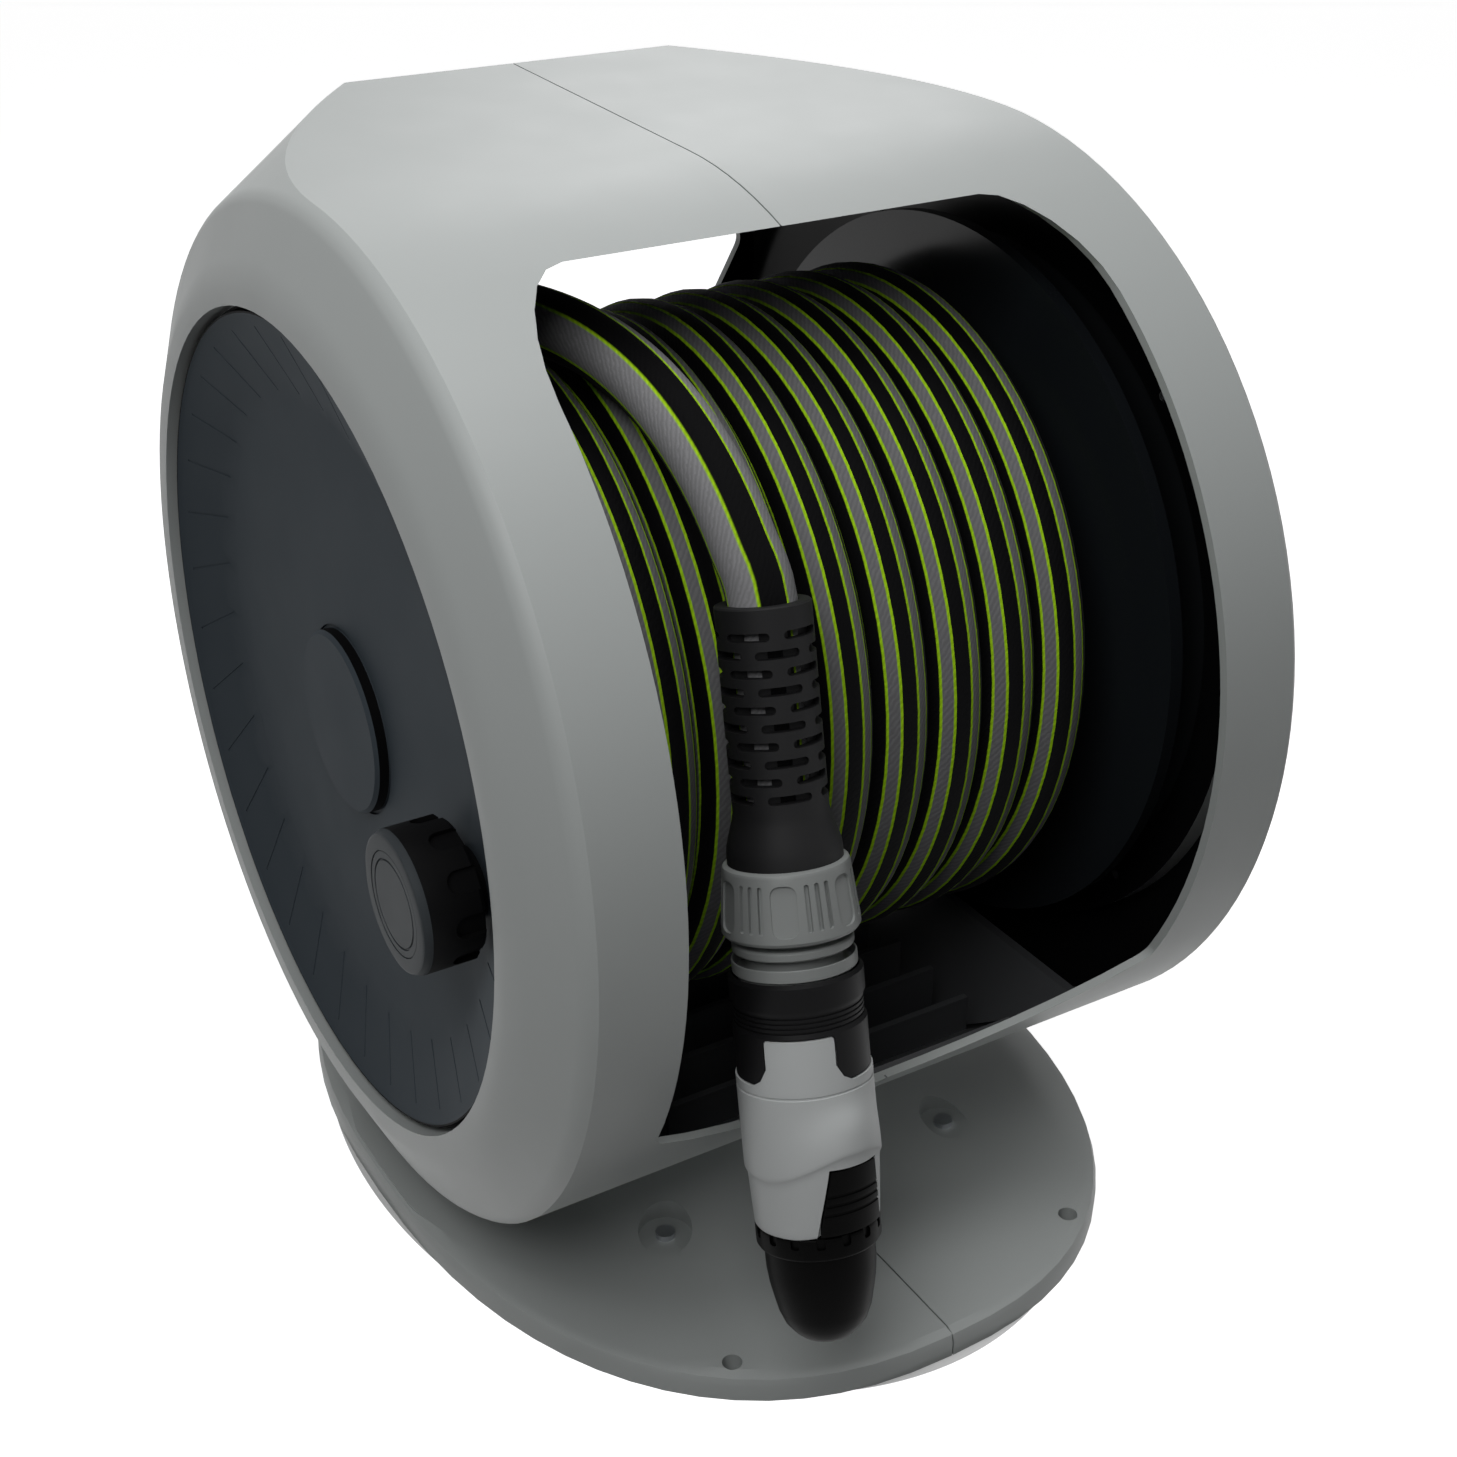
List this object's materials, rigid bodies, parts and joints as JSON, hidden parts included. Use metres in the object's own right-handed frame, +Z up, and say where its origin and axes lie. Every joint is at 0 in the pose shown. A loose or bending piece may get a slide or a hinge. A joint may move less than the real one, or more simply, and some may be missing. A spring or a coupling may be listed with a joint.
{
  "type": "portable hose reel",
  "caption": "Portable garden hose reel: round casing on a pedestal base, crank drum with wound striped hose, and a hose end with a nozzle hanging from the front opening.",
  "frame": {"origin": "on the floor, below the middle of the drum axis", "axes": "+X along the drum axis away from the crank, -Y towards the front opening, +Z up"},
  "size_m": [0.2907, 0.3753, 0.372],
  "materials": {
    "casing_plastic": "moulded, fine satin grain",
    "disc_plastic": "moulded, satin",
    "black_plastic": "moulded, satin",
    "soft_black": "soft-touch moulding",
    "nut_plastic": "moulded, satin",
    "light_plastic": "moulded, satin",
    "hose_cover": "extruded hose with textile, black and lime stripes",
    "rubber": "moulded",
    "bush_plastic": "moulded bearing plastic",
    "steel": "zinc plated"
  },
  "bodies": {
    "casing": {"left_casing": "casing_plastic", "right_casing": "casing_plastic", "base_plate": "black_plastic", "foot_pads": "rubber", "tray": "black_plastic", "right_cover": "disc_plastic", "axle_tube": "steel", "axle_clip": "steel", "inlet_nipple": "black_plastic", "inlet_seal": "rubber", "casing_screws": "steel", "base_screws": "steel", "cover_screws": "steel", "hose_tail": "hose_cover", "bend_sleeve": "soft_black", "clamp_nut": "nut_plastic", "connector_body": "nut_plastic", "coupling_seal": "rubber", "nozzle_body": "light_plastic", "nozzle_ring": "soft_black"},
    "drum": {"drum_core": "black_plastic", "left_flange": "disc_plastic", "right_flange": "disc_plastic", "left_bush": "bush_plastic", "right_bush": "bush_plastic", "hose_elbow": "black_plastic", "hose_layers": "hose_cover", "wound_hose": "hose_cover", "crank_disc": "disc_plastic", "hub_cap": "disc_plastic", "disc_screws": "steel", "knob_pin": "steel"},
    "knob": {"knob": "soft_black", "knob_cap": "disc_plastic"},
    "release": {"release_sleeve": "soft_black"},
    "button": {"nozzle_button": "soft_black"},
    "nose": {"nozzle_nose": "soft_black"}
  },
  "joints": [
    {"name": "drum_spin", "type": "hinge", "parent": "casing", "child": "drum", "pos_m": [0, 0, 0.195], "axis": [1, 0, 0], "continuous": true},
    {"name": "knob_spin", "type": "hinge", "parent": "drum", "child": "knob", "pos_m": [0, -0.09196, 0.18257], "axis": [1, 0, 0], "continuous": true},
    {"name": "release_slide", "type": "slide", "parent": "casing", "child": "release", "axis": [0.071, 0.2957, 0.9526], "range_m": [0, 0.004], "stiffness_N_per_m": 600, "springref_m": -0.003},
    {"name": "button_press", "type": "slide", "parent": "casing", "child": "button", "axis": [-0.0741, 0.954, -0.2906], "range_m": [0, 0.002], "stiffness_N_per_m": 800, "springref_m": -0.002},
    {"name": "nose_twist", "type": "hinge", "parent": "casing", "child": "nose", "pos_m": [-0.05519, -0.17757, 0.07395], "axis": [-0.071, -0.2957, -0.9526], "range_deg": [0, 180]}
  ]
}
